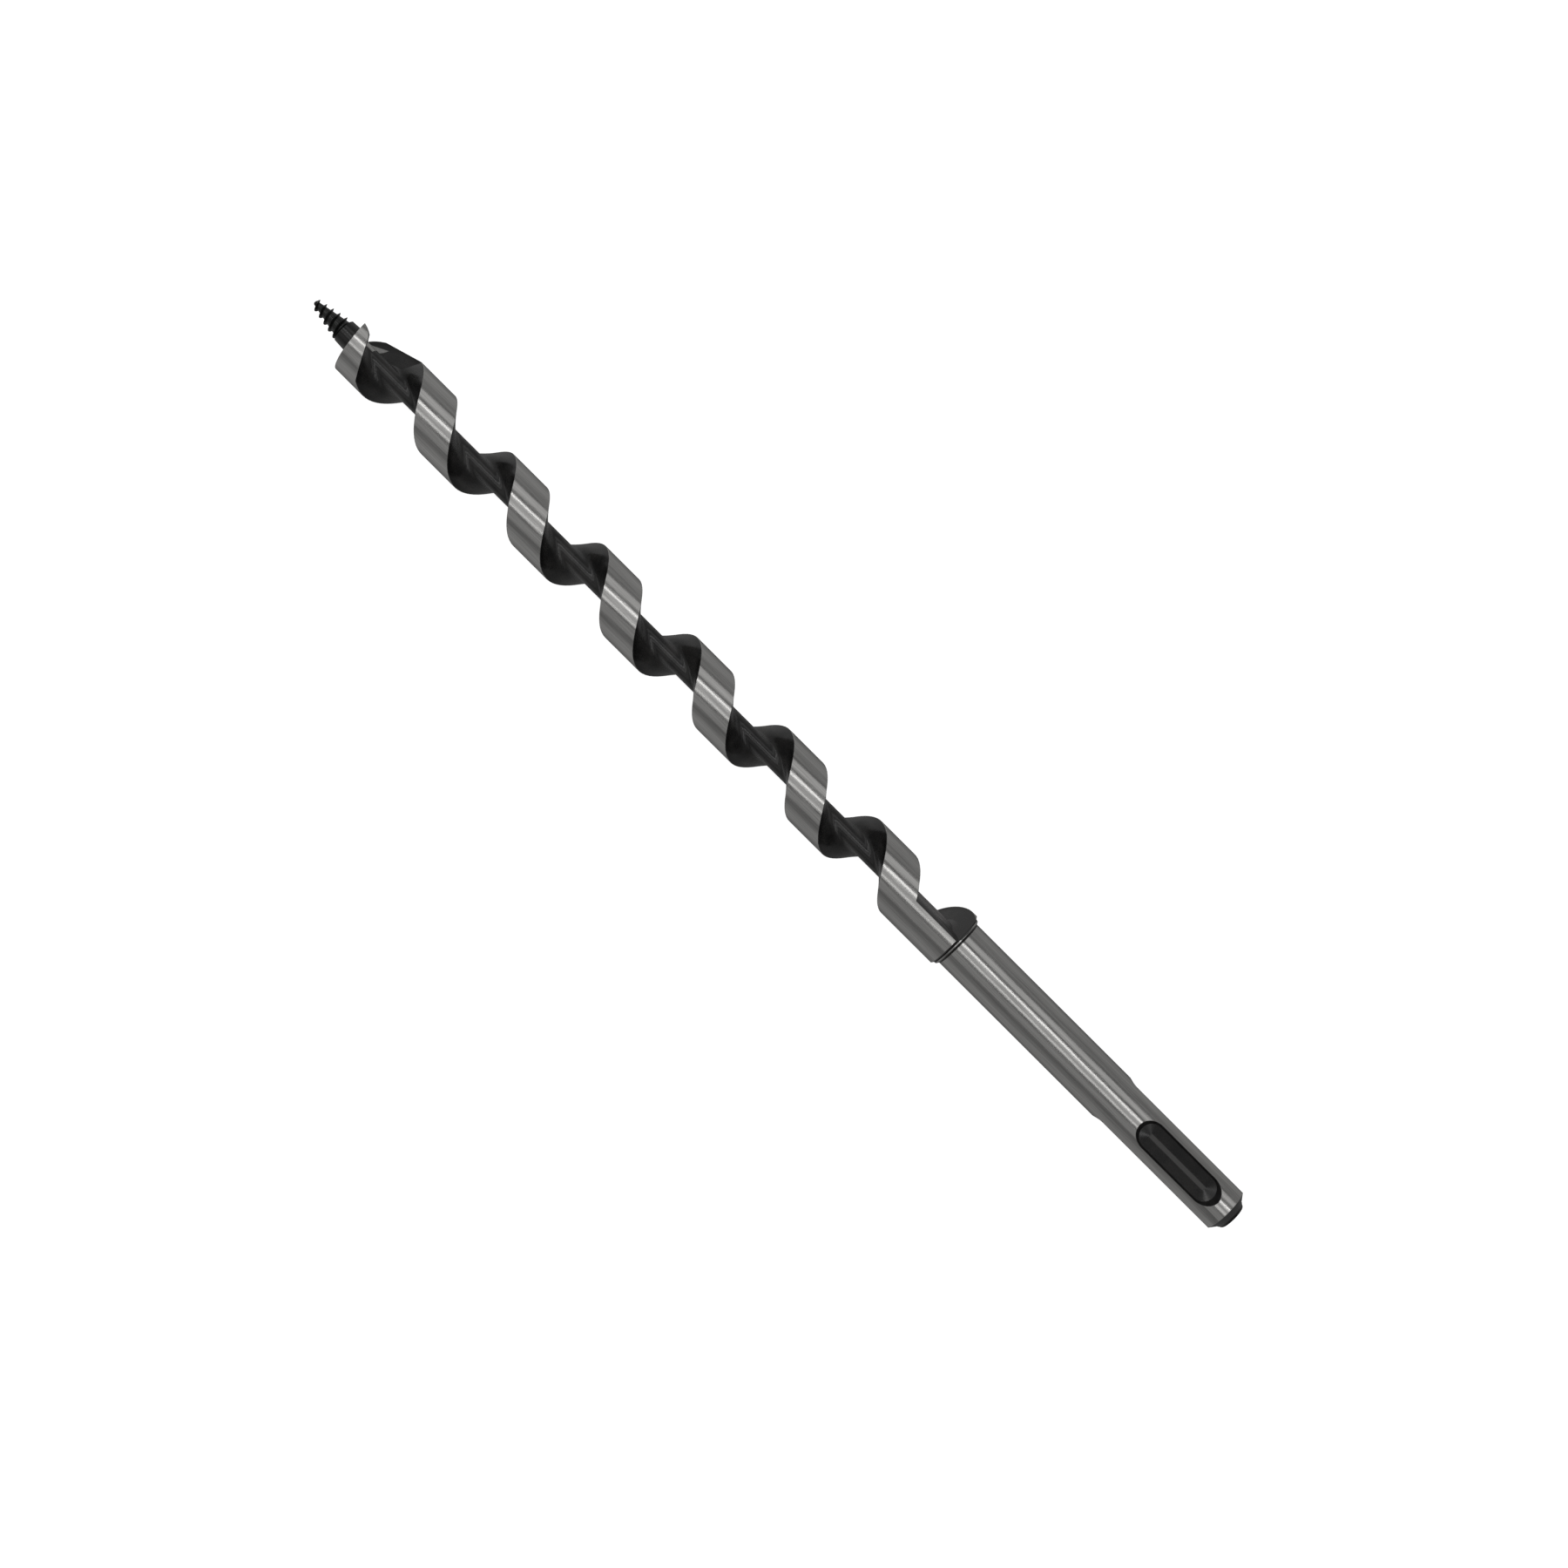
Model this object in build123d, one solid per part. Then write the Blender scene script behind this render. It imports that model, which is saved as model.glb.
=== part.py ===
from build123d import *
import math
import os

# Wood auger bit with a slotted hammer-drill shank, in millimetres.
#
# X runs along the axis of rotation from the striking face of the shank (x = 0) to the feed
# screw, Z is up, and the two retention grooves of the shank face up and down. Angles about the
# axis are measured from +Y towards +Z. The flute is right-handed, with one flight.

# ---- shank -------------------------------------------------------------------------------
shank_diameter = 10.0
shank_length = 72.75           # striking face to the weld
nose_diameter = 5.8            # small raised face that the hammer strikes
nose_length = 0.55
nose_edge = 0.15
bevel_length = 1.6
bevel_foot_diameter = 6.2
slot_width = 4.0               # the two drive slots, open at the striking face
slot_length = 31.75
slot_depth = 1.8
groove_start = 4.75            # the two closed retention grooves
groove_length = 20.4
groove_depth = 1.95
groove_floor_width = 0.9       # narrow flat along the middle
groove_rim_height = 0.45       # foot of the steep rim above the floor
groove_valley_width = 4.86     # between the feet of the rim
groove_rim_slope = 0.69        # outward run of the rim for each mm of height

# ---- auger body --------------------------------------------------------------------------
body_diameter = 12.2
body_length = 157.2            # weld to the front face, on the axis
core_diameter = 3.4
flute_lead = 24.157            # axial advance in one turn
land_width = 8.7               # ground outer face of the flight, along the axis
flank_run = 1.2                # axial run of a flank from its edge to its foot
fillet_run = 1.85              # axial run of the fillet between a flank and the core
flank_foot_height = 1.25       # foot of a flank above the core
straight_length = 10.7         # untwisted end of the flute, next to the weld
run_out_height = 3.15          # run-out plane crosses the axis this far from the weld
run_out_slope = 0.626
run_out_turn = -153.9          # its steepest way, from the trailing edge of the land
rear_chamfer = 0.35            # along the axis, down to the weld ring

# ---- head --------------------------------------------------------------------------------
land_edge_at_front = 113.2     # trailing edge of the land, where the flute leaves the front face
front_slope = 0.075            # the front face falls back by this much for each mm of +Y
spur_slope = 0.16              # the spur rises by this much for each mm of -Y
spur_wall = 1.3
spur_start_angle = 88.0
spur_end_angle = 132.0
spur_back_radius = 4.6         # rounded back of the spur, seen from above
spur_back_ahead = 1.6          # its centre, ahead of the front face
spur_back_offset = 0.76        # its centre, towards +Y
lip_thickness = 2.2            # back of the cutting lip crosses the axis this far behind it
lip_slope_y = -0.52
lip_slope_z = -0.16
lip_start_angle = 20.0
head_length = 12.5             # behind the front face
throat_depth = 11.2            # the metal around the throat starts this far behind it
throat_wall_depth = 8.9        # flat wall of the throat crosses the axis this far behind it
throat_slope_y = 0.327
throat_slope_z = -1.655
side_flat_ahead = 13.6         # flat on the far side of the throat crosses the axis ahead of it
side_flat_slope = 4.02         # the flat runs out sideways, this far along X for each mm of Y

# ---- feed screw --------------------------------------------------------------------------
seat_depth = 0.35              # spot face that the boss stands in
boss_diameter = 5.3
boss_length = 3.75
boss_taper = 0.22              # the boss is this much smaller in radius at its front
boss_step = 0.4
root_diameter = 3.7
tip_diameter = 0.95
tip_length = 0.2               # rounded end of the root cone
screw_length = 11.35           # seat to point
thread_pitch = 1.507
thread_height = 0.62
thread_foot = 0.7              # width of the thread where it stands on the root cone
thread_sink = 0.08             # the foot of the thread is sunk into the root cone
thread_start = 0.36            # first crest, behind the point
thread_turns = 4.75
tang_diameter = 2.2
tang_length = 3.4

# ---- weld and fits -----------------------------------------------------------------------
weld_ring_height = 0.6         # above the shank
weld_ring_width = 0.65
weld_ring_flat = 0.35
weld_ring_lip = 0.06
weld_line = 0.06               # open line each side of the ring
neck_depth = 0.25              # the shank is necked under the ring
register_diameter = 3.6        # centring peg of the weld
register_length = 1.2
fit_clearance = 0.02           # on the radius, between a peg and its bore
depth_clearance = 0.1          # past the end of a peg in its blind bore

# ---- derived places ----------------------------------------------------------------------
shank_radius = shank_diameter / 2
body_radius = body_diameter / 2
core_radius = core_diameter / 2
weld_x = shank_length
front_x = weld_x + body_length
helix_x = weld_x + straight_length
head_x = front_x - head_length
ring_rear_x = weld_x - weld_line - weld_ring_width
ring_radius = shank_radius + weld_ring_height
neck_radius = shank_radius - neck_depth
seat_x = front_x - seat_depth
point_x = seat_x + screw_length
root_cone_length = screw_length - boss_length - boss_step - tip_length
turn_rate = 360 / flute_lead
flute_width = flute_lead - land_width
straight_edge_angle = land_edge_at_front - (front_x - helix_x) * turn_rate
flute_middle_angle = straight_edge_angle + flute_width * turn_rate / 2
outside = body_radius * 1.25   # cutters reach this far, past the surface of the bar
seam_angle = 37                # turns the seam of the round bar away from the flute's ends


def along_x(shape):
    """Lay a shape that was drawn along Z along X, so that its X and Y become Y and Z."""
    return Plane.YZ.location * shape


def polar(radius, angle):
    turn = math.radians(angle)
    return (radius * math.cos(turn), radius * math.sin(turn))


def bar(radius, start, end):
    """Round bar about X between two stations."""
    blank = Cylinder(radius, end - start, align=(Align.CENTER, Align.CENTER, Align.MIN))
    return along_x(Pos(0, 0, start) * blank)


def turned(outline):
    """Solid of revolution about X from its (x, radius) corners."""
    corners = [(radius, 0, x) for x, radius in outline]
    corners = [(0, 0, outline[0][0])] + corners + [(0, 0, outline[-1][0])]
    return along_x(revolve(make_face(Polyline(*corners, close=True)), axis=Axis.Z))


def sector(start_angle, end_angle, start, end):
    """Wedge between two angles about the axis and two stations along it."""
    reach = outside * 1.5
    middle_angle = (start_angle + end_angle) / 2
    corners = [polar(reach, angle) for angle in (start_angle, middle_angle, end_angle)]
    face = make_face(Polyline((0, 0), *corners, close=True))
    return along_x(Pos(0, 0, start) * extrude(face, end - start))


def oblique_plane(x_on_axis, slope_y, slope_z):
    """Plane x = x_on_axis + slope_y * y + slope_z * z, whose top side is the feed screw's."""
    return Plane(origin=(x_on_axis, 0, 0), z_dir=(1, -slope_y, -slope_z))


# ---- auger body --------------------------------------------------------------------------
def flute_section():
    """Flute across the axis: core arc, a flank each side, and an arc outside the bar."""
    half_width = flute_width / 2
    foot = half_width - flank_run
    floor = foot - fillet_run
    foot_radius = core_radius + flank_foot_height
    over = half_width + flank_run * (outside - body_radius) / (body_radius - foot_radius)

    def at(width, radius):
        return Vector(*polar(radius, flute_middle_angle + width * turn_rate))

    def flank(side):
        edge = at(side * half_width, body_radius)
        beyond = at(side * over, outside)
        along_core = at(side * floor - side * flute_lead / 4, 1)
        return Spline(beyond, edge, at(side * foot, foot_radius), at(side * floor, core_radius),
                      tangents=[edge - beyond, along_core])

    core_arc = ThreePointArc(at(-floor, core_radius), at(0, core_radius), at(floor, core_radius))
    outer_arc = ThreePointArc(at(-over, outside), at(0, outside), at(over, outside))
    return make_face([core_arc, flank(1), outer_arc, flank(-1)]).face()


def twisted_flute(section, start, end):
    """Helical flute between two stations."""
    length = end - start
    first = section.rotate(Axis.Z, (start - helix_x) * turn_rate)
    twist = Solid.extrude_linear_with_rotation(first, (0, 0, 0), (0, 0, length),
                                               length * turn_rate)
    return along_x(Pos(0, 0, start) * twist)


def head_flute(section):
    """Flute from the back of the head to past the front face, less the metal of the head."""
    whole = twisted_flute(section, head_x, front_x + 3)
    return whole - throat_wall() - cutting_lip()


def straight_flute(section):
    """Untwisted end of the flute next to the weld, which runs out on an oblique plane."""
    start = weld_x - straight_length
    prism = along_x(Pos(0, 0, start) * extrude(section, helix_x - start))
    slope = polar(run_out_slope, straight_edge_angle + run_out_turn)
    run_out = oblique_plane(weld_x + run_out_height, *slope)
    return split(prism, run_out, keep=Keep.TOP)


def throat_wall():
    """Metal on the far side of the head, up to the flat wall of the throat."""
    behind = sector(180, 300, front_x - throat_depth, front_x + 2)
    beside = sector(300, 345, front_x - throat_depth / 2, front_x + 2)
    wall = oblique_plane(front_x - throat_wall_depth, throat_slope_y, throat_slope_z)
    return split(behind + beside, wall, keep=Keep.BOTTOM)


def cutting_lip():
    """Metal that thickens the flight behind the cutting lip."""
    block = sector(lip_start_angle, spur_end_angle, front_x - throat_depth / 2, front_x + 2)
    back = oblique_plane(front_x - lip_thickness, lip_slope_y, lip_slope_z)
    return split(block, back, keep=Keep.TOP)


def side_waste():
    """What the side flat takes off the wall of the throat."""
    beside = sector(180, 235, front_x - throat_depth - 1, front_x + 2)
    flat = oblique_plane(front_x + side_flat_ahead, side_flat_slope, 0)
    return split(beside, flat, keep=Keep.TOP)


def front_waste():
    """Everything in front of the leaning front face, apart from the spur."""
    ahead = bar(outside, front_x - 2, front_x + 4)
    ahead = split(ahead, oblique_plane(front_x, -front_slope, 0), keep=Keep.TOP)
    spur = sector(spur_start_angle, spur_end_angle, front_x - 2, front_x + 2)
    spur -= bar(body_radius - spur_wall, front_x - 3, front_x + 3)
    return ahead - split(spur, oblique_plane(front_x, -spur_slope, 0), keep=Keep.BOTTOM)


def spur_waste():
    """What is taken off behind the spur to give its rounded back, seen from above."""
    centre = Vector(front_x + spur_back_ahead, spur_back_offset)
    side = Pos(front_x - 2, -outside) * Rectangle(8, 2 * outside - 3)
    back = side - Pos(centre.X, centre.Y) * Circle(spur_back_radius)
    return extrude(back, outside)


def auger_body():
    section = flute_section()
    blank = turned([(weld_x, ring_radius),
                    (weld_x + rear_chamfer, body_radius),
                    (front_x + 2, body_radius)])
    blank = blank.rotate(Axis.X, seam_angle)
    body = blank - straight_flute(section) - twisted_flute(section, helix_x, head_x)
    body = body - head_flute(section) - side_waste() - front_waste() - spur_waste()
    seat = bar(boss_diameter / 2 + fit_clearance, seat_x, front_x + 2)
    tang_bore = bar(tang_diameter / 2 + fit_clearance,
                    seat_x - tang_length - depth_clearance, seat_x + 1)
    register_bore = bar(register_diameter / 2 + fit_clearance,
                        weld_x - 1, weld_x + register_length + depth_clearance)
    return body - seat - tang_bore - register_bore


# ---- feed screw --------------------------------------------------------------------------
def feed_thread():
    """Sharp single thread that tapers with the root cone, as a triangle run along a helix.

    It is made from the point backwards, along +Z, and then turned end for end.
    """
    taper = (root_diameter - tip_diameter) / 2 / root_cone_length
    cone_angle = math.degrees(math.atan(taper))
    sunk_radius = tip_diameter / 2 - thread_sink

    def helix(radius, behind):
        return Edge.make_helix(thread_pitch, thread_turns * thread_pitch, radius + taper * behind,
                               center=(0, 0, behind), angle=cone_angle).edge()

    front_foot = helix(sunk_radius, -thread_foot / 2)
    crest = helix(tip_diameter / 2 + thread_height, 0)
    rear_foot = helix(sunk_radius, thread_foot / 2)
    flanks = [Face.make_surface_from_curves(first, second) for first, second in
              ((front_foot, crest), (crest, rear_foot), (rear_foot, front_foot))]
    ends = [Face(Wire.make_polygon([curve @ place for curve in (front_foot, crest, rear_foot)]))
            for place in (0, 1)]
    thread = Rot(0, 180, 0) * Solid(Shell(flanks + ends))
    return along_x(Pos(0, 0, point_x - thread_start) * thread)


def feed_screw():
    boss_radius = boss_diameter / 2
    boss_front = seat_x + boss_length
    root = turned([(seat_x - tang_length, tang_diameter / 2),
                   (seat_x, tang_diameter / 2),
                   (seat_x, boss_radius),
                   (boss_front, boss_radius - boss_taper),
                   (boss_front + boss_step, root_diameter / 2),
                   (point_x - tip_length, tip_diameter / 2),
                   (point_x, tip_diameter / 3)])
    return root + feed_thread()


# ---- shank and weld ----------------------------------------------------------------------
def drive_slot():
    """Cutter for one drive slot, on the +Y side: square floor and a round closed end."""
    floor = Plane.XZ.offset(slot_depth - shank_radius)
    end = floor * Pos(slot_length - slot_width / 2, 0) * Circle(slot_width / 2)
    run = slot_length - slot_width / 2 + 1
    side = floor * Pos(run / 2 - 1, 0) * Rectangle(run, slot_width)
    return extrude(side + end, -shank_radius)


def retention_groove():
    """Cutter for one retention groove, on the +Z side: a blunt shallow V with a steep rim."""
    valley = shank_radius - groove_depth
    rim_foot = valley + groove_rim_height
    half_valley = groove_valley_width / 2
    top = shank_radius + 1
    half_top = half_valley + groove_rim_slope * (top - rim_foot)
    half_surface = half_valley + groove_rim_slope * (shank_radius - rim_foot)
    start = groove_start + half_surface
    end = groove_start + groove_length - half_surface
    half = [(0, valley), (groove_floor_width / 2, valley), (half_valley, rim_foot),
            (half_top, top), (0, top)]
    mirrored = [(-width, height) for width, height in half[3:0:-1]]
    across = make_face(Polyline(*half[1:4], *mirrored, close=True))
    cutter = along_x(Pos(0, 0, start) * extrude(across, end - start))
    cone = revolve(Plane.XZ * make_face(Polyline(*half, close=True)), axis=Axis.Z)
    return cutter + Pos(start, 0, 0) * cone + Pos(end, 0, 0) * cone


def shank():
    nose_radius = nose_diameter / 2
    blank = turned([(0, nose_radius - nose_edge),
                    (nose_edge, nose_radius),
                    (nose_length, bevel_foot_diameter / 2),
                    (nose_length + bevel_length, shank_radius),
                    (ring_rear_x - weld_line, shank_radius),
                    (ring_rear_x - weld_line, neck_radius),
                    (weld_x, neck_radius),
                    (weld_x, register_diameter / 2),
                    (weld_x + register_length, register_diameter / 2)])
    blank -= drive_slot() + drive_slot().rotate(Axis.X, 180)
    return blank - retention_groove() - retention_groove().rotate(Axis.X, 180)


def weld_ring():
    """Upset metal of the friction weld, turned down to a narrow ring in the corner.

    The flute runs out through its front edge.
    """
    front = weld_x - weld_line
    ring = turned([(ring_rear_x, shank_radius + weld_ring_lip),
                   (front - weld_ring_flat, ring_radius - weld_ring_lip),
                   (front, ring_radius)])
    ring -= bar(neck_radius, ring_rear_x - 1, front + 1)
    return ring - straight_flute(flute_section())


# ---- all the pieces ----------------------------------------------------------------------
PIECES = {
    "feed_screw": feed_screw,
    "auger_body": auger_body,
    "weld_ring": weld_ring,
    "shank": shank,
}

os.makedirs("parts", exist_ok=True)
for name, make in PIECES.items():
    export_step(make(), f"parts/{name}.step")
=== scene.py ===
import math

import bpy
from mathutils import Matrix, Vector


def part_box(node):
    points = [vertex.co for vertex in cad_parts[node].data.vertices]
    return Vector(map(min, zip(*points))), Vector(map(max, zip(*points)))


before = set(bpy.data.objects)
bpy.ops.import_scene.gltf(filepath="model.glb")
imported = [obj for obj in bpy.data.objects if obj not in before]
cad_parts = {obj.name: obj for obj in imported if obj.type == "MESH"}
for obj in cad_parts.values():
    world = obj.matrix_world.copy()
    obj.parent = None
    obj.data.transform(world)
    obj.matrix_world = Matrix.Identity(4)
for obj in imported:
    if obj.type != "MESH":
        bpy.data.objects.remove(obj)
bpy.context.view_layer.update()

# Wood auger bit with a slotted hammer-drill shank. +X runs along the axis to the feed screw,
# from the striking face of the shank at the origin, and +Z is up.

MM = 0.001


# ---- places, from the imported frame, in millimetres ------------------------------------------
def span_mm(node):
    low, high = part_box(node)
    return Vector(low) / MM, Vector(high) / MM


body_low, body_high = span_mm("auger_body")
ring_low, ring_high = span_mm("weld_ring")
shank_low, shank_high = span_mm("shank")

body_radius = body_high.z
shank_radius = shank_high.z
spur_rise = 0.6                    # of the tip of the spur, past the front face on the axis
front_x = body_high.x - spur_rise
ring_middle = (ring_low.x + ring_high.x) / 2
middle_x = (shank_low.x + body_high.x) / 2


# ---- materials -----------------------------------------------------------------------------
def linear(hex_colour):
    """sRGB hex to the linear colour that the shaders take."""
    def channel(text):
        value = int(text, 16) / 255
        return value / 12.92 if value <= 0.04045 else ((value + 0.055) / 1.055) ** 2.4
    digits = hex_colour.lstrip("#")
    return tuple(channel(digits[i:i + 2]) for i in (0, 2, 4)) + (1.0,)


def add(tree, kind, sockets=None, **settings):
    """Add one node. A socket takes a plain value, or the node or output that feeds it."""
    node = tree.nodes.new(kind)
    for name, value in settings.items():
        setattr(node, name, value)
    for name, value in (sockets or {}).items():
        socket = node.inputs[name] if isinstance(name, int) else next(
            s for s in node.inputs if s.name == name and s.enabled)
        if isinstance(value, bpy.types.Node):
            value = next(s for s in value.outputs if s.enabled)
        if isinstance(value, bpy.types.NodeSocket):
            tree.links.new(value, socket)
        else:
            socket.default_value = value
    return node


def empty_material(name):
    material = bpy.data.materials.new(name)
    material.use_nodes = True
    material.node_tree.nodes.clear()
    return material


class Finish:
    """A new material, with the places on the bit that its masks use, in millimetres."""

    def __init__(self, name):
        self.material = empty_material(name)
        self.tree = self.material.node_tree
        where = self.add("ShaderNodeTexCoord").outputs["Object"]
        self.mm = self.add("ShaderNodeVectorMath", {0: where, "Scale": 1 / MM}, operation="SCALE")
        self.x, self.y, self.z = self.add("ShaderNodeSeparateXYZ", {0: self.mm}).outputs
        across = self.add("ShaderNodeVectorMath", {0: self.mm, 1: (0.0, 1.0, 1.0)},
                          operation="MULTIPLY")
        self.radius = self.add("ShaderNodeVectorMath", {0: across}, operation="LENGTH")
        # grain 0.25 mm across, which also makes the edges of the masks wander by up to 0.05 mm
        self.grain = self.add("ShaderNodeTexNoise", {"Vector": self.mm, "Scale": 4.0,
                                                     "Detail": 4.0, "Roughness": 0.65})
        self.wander = self.add("ShaderNodeMath", {0: self.grain, 1: 0.1, 2: -0.05},
                               operation="MULTIPLY_ADD")

    def add(self, kind, sockets=None, **settings):
        return add(self.tree, kind, sockets, **settings)

    def above(self, value, edge, soft=0.02):
        """1 where the value is above the edge, over a soft and slightly wandering step."""
        moved = self.add("ShaderNodeMath", {0: value, 1: self.wander}, operation="ADD")
        return self.add("ShaderNodeMapRange", {"Value": moved, "From Min": edge - soft,
                                               "From Max": edge + soft})

    def outside(self, mask):
        return self.add("ShaderNodeMath", {0: 1.0, 1: mask}, operation="SUBTRACT")

    def all_of(self, *masks):
        joined = masks[0]
        for mask in masks[1:]:
            joined = self.add("ShaderNodeMath", {0: joined, 1: mask}, operation="MINIMUM")
        return joined

    def any_of(self, *masks):
        joined = masks[0]
        for mask in masks[1:]:
            joined = self.add("ShaderNodeMath", {0: joined, 1: mask}, operation="MAXIMUM")
        return joined


OXIDE_METALLIC = 0.15              # the skin is thin, and some steel shows through
OIL = 0.3                          # weight of the coat that stands for the oil
BODY_OXIDE = ("#1B1B1B", "#2F2E2D")
SHANK_OXIDE = ("#191919", "#262524")
SCREW_OXIDE = ("#121211", "#20201F")
BARE_STEEL = ("#B4B3B1", "#CAC9C7")
# the dark lines at the weld: partly a stain, partly painted shade
WELD_STAIN_AND_SHADE = "#1C1A18"


def carbon_steel(name, tones, masks=None):
    """Carbon steel with a black-oxide skin, ground bright where the wheel reached it.

    masks(finish) gives a ground mask, a mask for the dark lines at the weld, which are partly
    stain and partly painted shade, and (mask, colour) pairs for the places where the oxide is
    lighter or darker, some of them painted shade or a painted highlight.
    The wheel leaves fine lines along the bit: each reflects a little more or less, so the
    highlights are long and streaked, with soft edges. The oxide is a thin dark skin from a hot
    bath, and is oiled. It is uneven by the millimetre, grainy, and has a slight gloss.
    """
    f = Finish(name)
    # clouds 3 mm across, from the bath
    cloud = f.add("ShaderNodeTexNoise", {"Vector": f.mm, "Scale": 0.33, "Detail": 3.0})
    patch = f.add("ShaderNodeMapRange", {"Value": cloud, "From Min": 0.35, "From Max": 0.65})
    oxide = f.add("ShaderNodeMix", {"Factor": patch, "A": linear(tones[0]),
                                    "B": linear(tones[1])}, data_type="RGBA")
    oxide_rough = f.add("ShaderNodeMath", {0: f.grain, 1: 0.16, 2: 0.14},
                        operation="MULTIPLY_ADD")
    coarse = f.add("ShaderNodeBump", {"Height": f.grain, "Strength": 0.3,
                                      "Distance": 0.02 * MM})
    look = {"Base Color": oxide, "Metallic": OXIDE_METALLIC, "Roughness": oxide_rough,
            "Normal": coarse, "Coat Weight": OIL, "Coat Roughness": 0.16}
    if masks:
        ground, stain_and_shade, tints = masks(f)
        for mask, tint in tints:
            oxide = f.add("ShaderNodeMix", {"Factor": mask, "A": oxide, "B": linear(tint)},
                          data_type="RGBA")
        # grinding lines 0.3 mm apart and 8 mm long, coarser than real ones so that they show
        drawn = f.add("ShaderNodeVectorMath", {0: f.mm, 1: (0.04, 1.0, 1.0)},
                      operation="MULTIPLY")
        lines = f.add("ShaderNodeTexNoise", {"Vector": drawn, "Scale": 3.2, "Detail": 3.0,
                                             "Roughness": 0.6})
        bright = f.add("ShaderNodeMapRange", {"Value": lines, "From Min": 0.3,
                                              "From Max": 0.7})
        steel = f.add("ShaderNodeMix", {"Factor": bright, "A": linear(BARE_STEEL[0]),
                                        "B": linear(BARE_STEEL[1])}, data_type="RGBA")
        # the dark lines at the weld, partly stain and partly painted shade, cover the bare steel
        stained_and_shaded = f.add("ShaderNodeMix", {"Factor": stain_and_shade, "A": steel,
                                          "B": linear(WELD_STAIN_AND_SHADE)}, data_type="RGBA")
        colour = f.add("ShaderNodeMix", {"Factor": ground, "A": oxide, "B": stained_and_shaded},
                       data_type="RGBA")
        clean = f.all_of(ground, f.outside(stain_and_shade))
        metallic = f.add("ShaderNodeMath", {0: clean, 1: 1.0 - OXIDE_METALLIC,
                                            2: OXIDE_METALLIC}, operation="MULTIPLY_ADD")
        steel_rough = f.add("ShaderNodeMath", {0: lines, 1: 0.16, 2: 0.1},
                            operation="MULTIPLY_ADD")
        rough = f.add("ShaderNodeMix", {"Factor": clean, "A": oxide_rough, "B": steel_rough},
                      data_type="FLOAT")
        fine = f.add("ShaderNodeBump", {"Height": lines, "Normal": coarse, "Strength": 0.5,
                                        "Distance": 0.012 * MM})
        oil = f.add("ShaderNodeMath", {0: f.outside(clean), 1: OIL}, operation="MULTIPLY")
        look.update({"Base Color": colour, "Metallic": metallic, "Roughness": rough,
                     "Normal": fine, "Coat Weight": oil})
    shader = f.add("ShaderNodeBsdfPrincipled", look)
    f.add("ShaderNodeOutputMaterial", {"Surface": shader})
    return f.material


def flight_masks(f):
    """Ground on the lands, the front face, the spur and a small flat in the throat."""
    land_depth, front_depth, spur_length, spur_side = 0.09, 0.15, 3.4, -1.0
    land = f.above(f.radius, body_radius - land_depth)
    # the front face leans a little, so that it lies across this direction
    lean = f.add("ShaderNodeVectorMath", {0: f.mm, 1: (1.0, 0.075, 0.0)},
                 operation="DOT_PRODUCT")
    front = f.above(lean, front_x - front_depth)
    spur = f.all_of(f.above(f.x, front_x - spur_length), f.outside(f.above(f.y, spur_side)),
                    f.above(f.z, 0.0))
    # the flat is the crescent that a wheel leaves on the sloping wall of the throat: from
    # above, what a chord leaves of a circle
    wheel_centre, wheel_radius = (front_x - 1.3, -4.2, 0.0), 3.2
    chord_faces, chord_offset = (-0.4, 0.917, 0.0), -1.2
    flat_top = -1.0
    from_above = f.add("ShaderNodeCombineXYZ", {"X": f.x, "Y": f.y})
    from_wheel = f.add("ShaderNodeVectorMath", {0: from_above, 1: wheel_centre},
                       operation="DISTANCE")
    past_chord = f.add("ShaderNodeVectorMath", {0: f.mm, 1: chord_faces},
                       operation="DOT_PRODUCT")
    flat = f.all_of(f.outside(f.above(from_wheel, wheel_radius, 0.1)),
                    f.above(past_chord, chord_faces[0] * front_x + chord_offset, 0.06),
                    f.outside(f.above(f.z, flat_top)))
    ground = f.any_of(land, front, spur, flat)
    # a dark line beside the weld, partly stain and partly painted shade
    stain_and_shade_length = 0.3
    stain_and_shade = f.outside(f.above(f.x, ring_high.x + stain_and_shade_length, 0.05))
    # painted shade: the skin is darker beside the edges of the lands, where the flanks reflect
    # the dark room; it is also darker towards the weld, and lighter on the core of the run-out
    edge_band, weld_band = 1.0, 2.4
    core_start, core_end, core_radius = 3.2, 11.6, 2.4
    painted_edge_shade = f.above(f.radius, body_radius - edge_band, 0.5)
    run_out_core = f.all_of(f.above(f.x, body_low.x + core_start, 1.5),
                            f.outside(f.above(f.x, body_low.x + core_end, 0.6)),
                            f.outside(f.above(f.radius, core_radius, 0.3)))
    near_weld = f.outside(f.above(f.x, body_low.x + weld_band, 1.4))
    return ground, stain_and_shade, [(painted_edge_shade, "#121211"), (near_weld, "#141210"),
                          (run_out_core, "#5C5A5A")]


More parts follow.
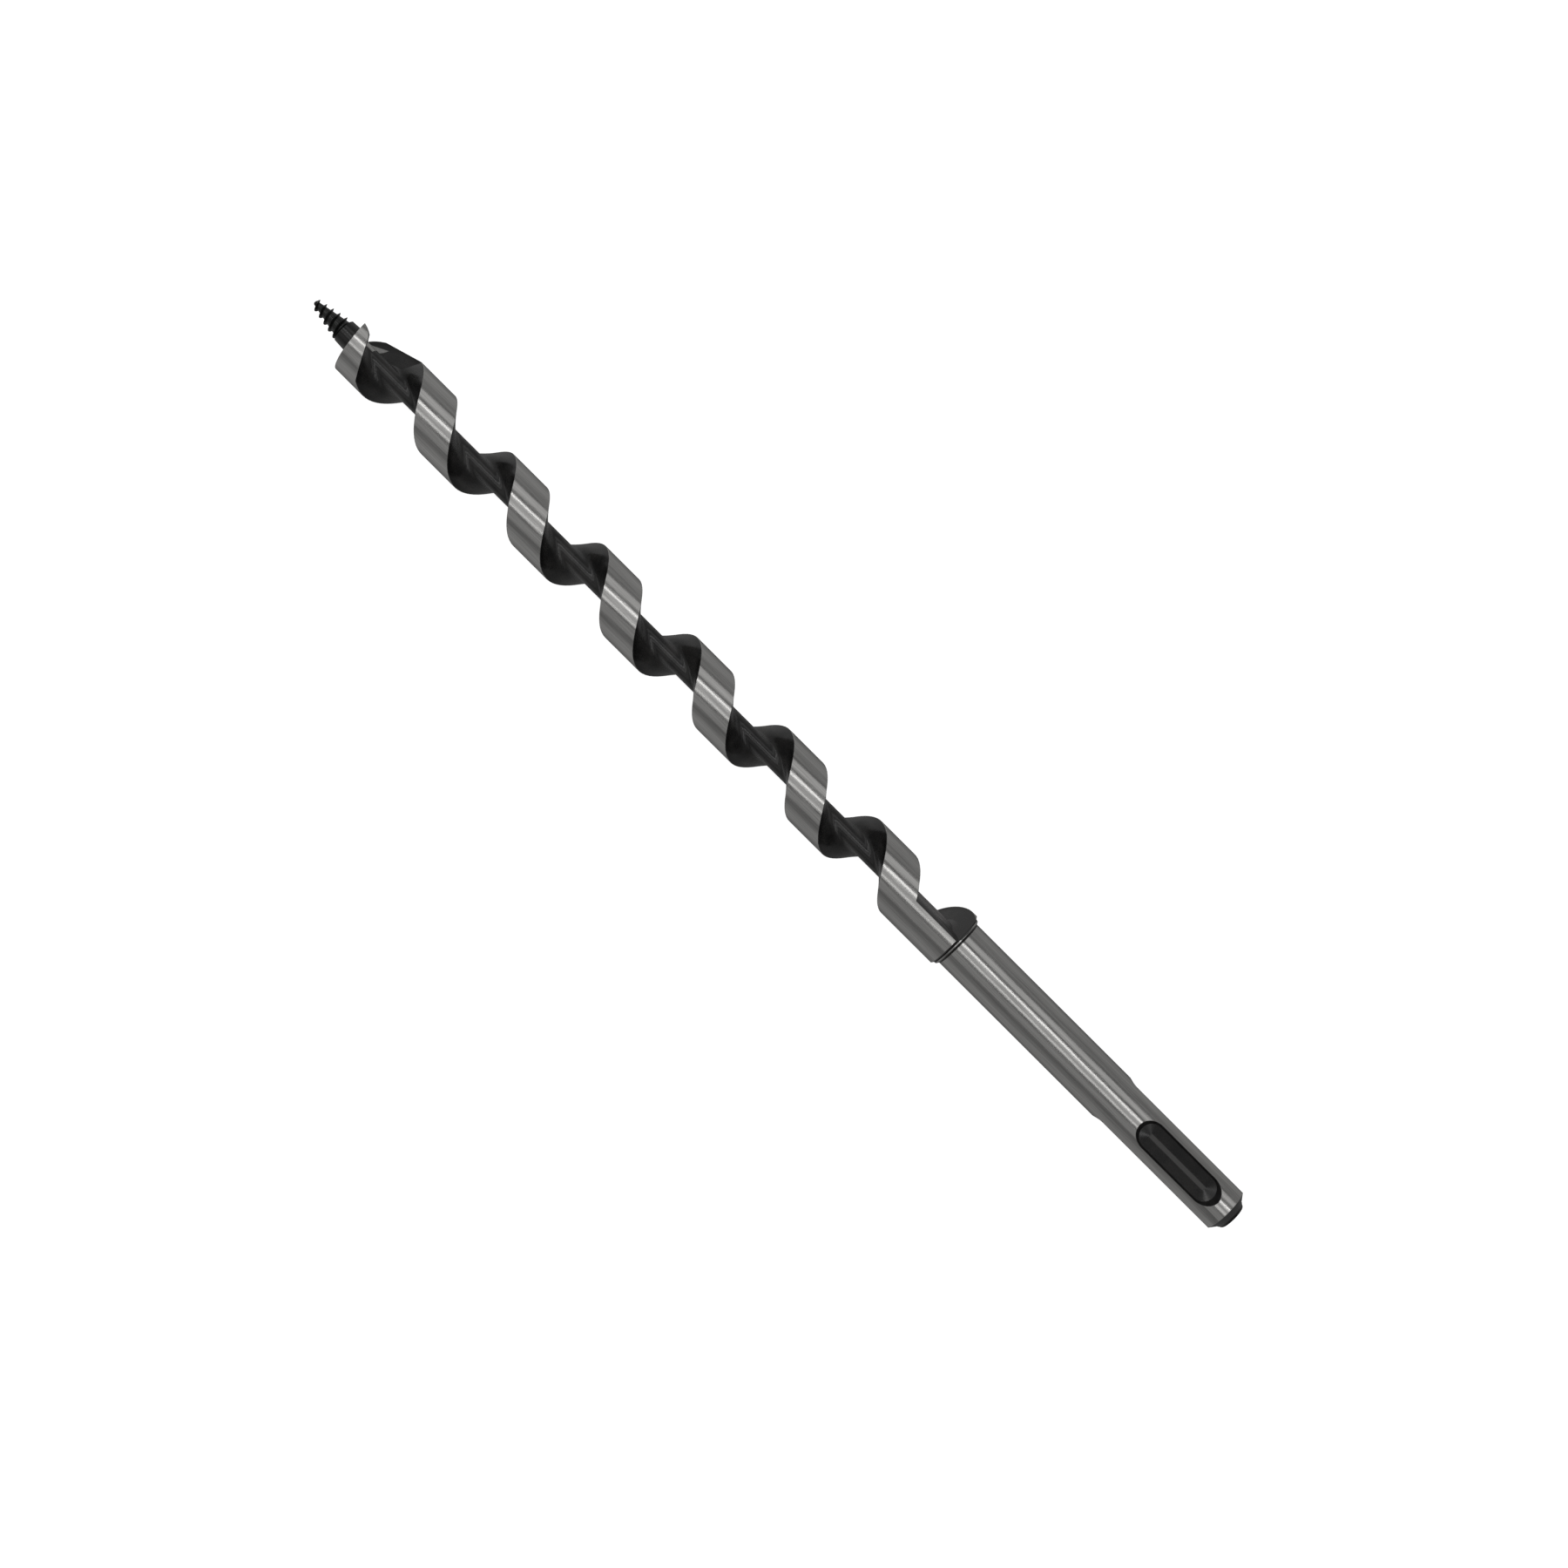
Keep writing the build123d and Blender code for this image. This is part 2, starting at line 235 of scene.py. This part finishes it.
def shank_masks(f):
    """Ground all round, with a weld stain that is partly painted shade, a dark nose and a painted
    highlight along the floor of each groove.
    """
    ground_depth, stain_and_shade_length, nose_length = 0.08, 0.2, 0.6
    ground = f.above(f.radius, shank_radius - ground_depth)
    stain_and_shade = f.above(f.x, ring_low.x - stain_and_shade_length, 0.05)
    nose = f.outside(f.above(f.x, nose_length, 0.2))
    # painted highlight: the floor of each retention groove is a little lighter along its middle,
    # where a rounded floor would catch the light
    line_start, line_end, line_half_width = 7.9, 22.0, 0.42
    sideways = f.add("ShaderNodeMath", {0: f.y}, operation="ABSOLUTE")
    painted_floor_highlight = f.all_of(f.above(f.x, line_start, 0.2),
                          f.outside(f.above(f.x, line_end, 0.2)),
                          f.outside(f.above(sideways, line_half_width, 0.1)))
    return ground, stain_and_shade, [(nose, "#171513"), (painted_floor_highlight, "#444342")]


def ring_masks(f):
    """Turned bright, but for the end of the flute and the two dark lines beside it, which are
    partly weld stain and partly painted shade.
    """
    # the end of the flute slopes across this direction
    lean = f.add("ShaderNodeVectorMath", {0: f.mm, 1: (1.0, -0.275, 0.562)},
                 operation="DOT_PRODUCT")
    flute_end, front_line = ring_high.x + 3.18, ring_high.x - 0.12
    ground = f.outside(f.above(lean, flute_end))
    stain_and_shade = f.any_of(f.outside(f.above(f.x, ring_middle - 0.02, 0.04)),
                    f.above(f.x, front_line, 0.04))
    return ground, stain_and_shade, []


FINISHES = {
    "auger_body": ("ground carbon steel with black-oxide flute", BODY_OXIDE, flight_masks),
    "shank": ("ground shank steel with black-oxide grooves", SHANK_OXIDE, shank_masks),
    "weld_ring": ("turned weld steel", BODY_OXIDE, ring_masks),
    "feed_screw": ("black-oxide steel", SCREW_OXIDE, None),
}
for node, (name, tones, masks) in FINISHES.items():
    material = carbon_steel(name, tones, masks)
    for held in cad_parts[node].material_slots:
        held.material = material


# ---- floor ---------------------------------------------------------------------------------
def make_floor():
    """Level floor, 40 m wide, that the body rests on."""
    half = 20.0
    floor_z = body_low.z * MM
    mesh = bpy.data.meshes.new("floor")
    corners = [(sx * half, sy * half, floor_z) for sx, sy in ((-1, -1), (1, -1), (1, 1), (-1, 1))]
    mesh.from_pydata(corners, [], [(0, 1, 2, 3)])
    floor = bpy.data.objects.new("floor", mesh)
    bpy.context.scene.collection.objects.link(floor)
    # it gives off light of its own, so that it stays pale and even
    material = empty_material("pale studio floor")
    shader = add(material.node_tree, "ShaderNodeBsdfPrincipled",
                 {"Base Color": linear("#F4F4F3"), "Roughness": 0.9,
                  "Emission Color": (1, 1, 1, 1), "Emission Strength": 0.85})
    add(material.node_tree, "ShaderNodeOutputMaterial", {"Surface": shader})
    mesh.materials.append(material)
    floor.visible_glossy = False


make_floor()


# ---- light ---------------------------------------------------------------------------------
def strip_light(name, tilt, width_angle, radiance, distance=0.9):
    """Long softbox parallel to the axis, tilted from overhead towards +Y by an angle.

    Angles are in degrees and the distance is in metres.
    """
    light = bpy.data.lights.new(name, "AREA")
    light.shape = "RECTANGLE"
    light.size = 1.6
    light.size_y = 2 * distance * math.tan(math.radians(width_angle / 2))
    # the power that gives a flat panel this radiance
    light.energy = radiance * math.pi * light.size * light.size_y
    holder = bpy.data.objects.new(name, light)
    turn = math.radians(tilt)
    holder.location = (middle_x * MM, distance * math.sin(turn), distance * math.cos(turn))
    holder.rotation_euler = (-turn, 0, 0)
    bpy.context.scene.collection.objects.link(holder)


strip_light("overhead softbox", 0, 35, 0.35)
strip_light("overhead tube left", -12.5, 5, 2.0, distance=0.85)
strip_light("overhead tube right", 15, 6, 0.75, distance=0.85)
strip_light("side softbox", -42, 24, 0.42)
strip_light("side panel", -70, 12, 0.09)
strip_light("far softbox", 42, 27, 0.15)

world = bpy.data.worlds.new("studio room")
bpy.context.scene.world = world
world.use_nodes = True
# dim room, brightest low on its walls and towards the feed screw
towards = add(world.node_tree, "ShaderNodeSeparateXYZ",
              {0: add(world.node_tree, "ShaderNodeTexCoord").outputs["Generated"]})
walls = add(world.node_tree, "ShaderNodeMapRange",
            {"Value": towards.outputs["Z"], "From Min": -0.1, "From Max": 0.35,
             "To Min": 0.3, "To Max": 0.16})
below = add(world.node_tree, "ShaderNodeMapRange",
            {"Value": towards.outputs["Z"], "From Min": -0.9, "From Max": -0.5,
             "To Min": 0.5, "To Max": 1.0})
ends = add(world.node_tree, "ShaderNodeMapRange",
           {"Value": towards.outputs["X"], "From Min": -0.8, "From Max": 0.8,
            "To Min": 0.6, "To Max": 1.35})
room = add(world.node_tree, "ShaderNodeMath", {0: walls, 1: below}, operation="MULTIPLY")
shaded = add(world.node_tree, "ShaderNodeMath", {0: room, 1: ends}, operation="MULTIPLY")
world.node_tree.links.new(shaded.outputs[0],
                          world.node_tree.nodes["Background"].inputs["Color"])


# ---- camera --------------------------------------------------------------------------------
# straight down from half a metre, turned so that the feed screw points up and to the left
camera_data = bpy.data.cameras.new("camera")
camera_data.sensor_width = 36
camera_data.lens = 61.7
camera_data.clip_start = 0.01
camera = bpy.data.objects.new("camera", camera_data)
camera_x, camera_y, camera_z = 115.87, 1.86, 500.0
camera.location = (camera_x * MM, camera_y * MM, camera_z * MM)
camera.rotation_euler = (0, 0, math.radians(180 + 44.93))
bpy.context.scene.collection.objects.link(camera)
bpy.context.scene.camera = camera
bpy.context.scene.view_settings.view_transform = "Standard"
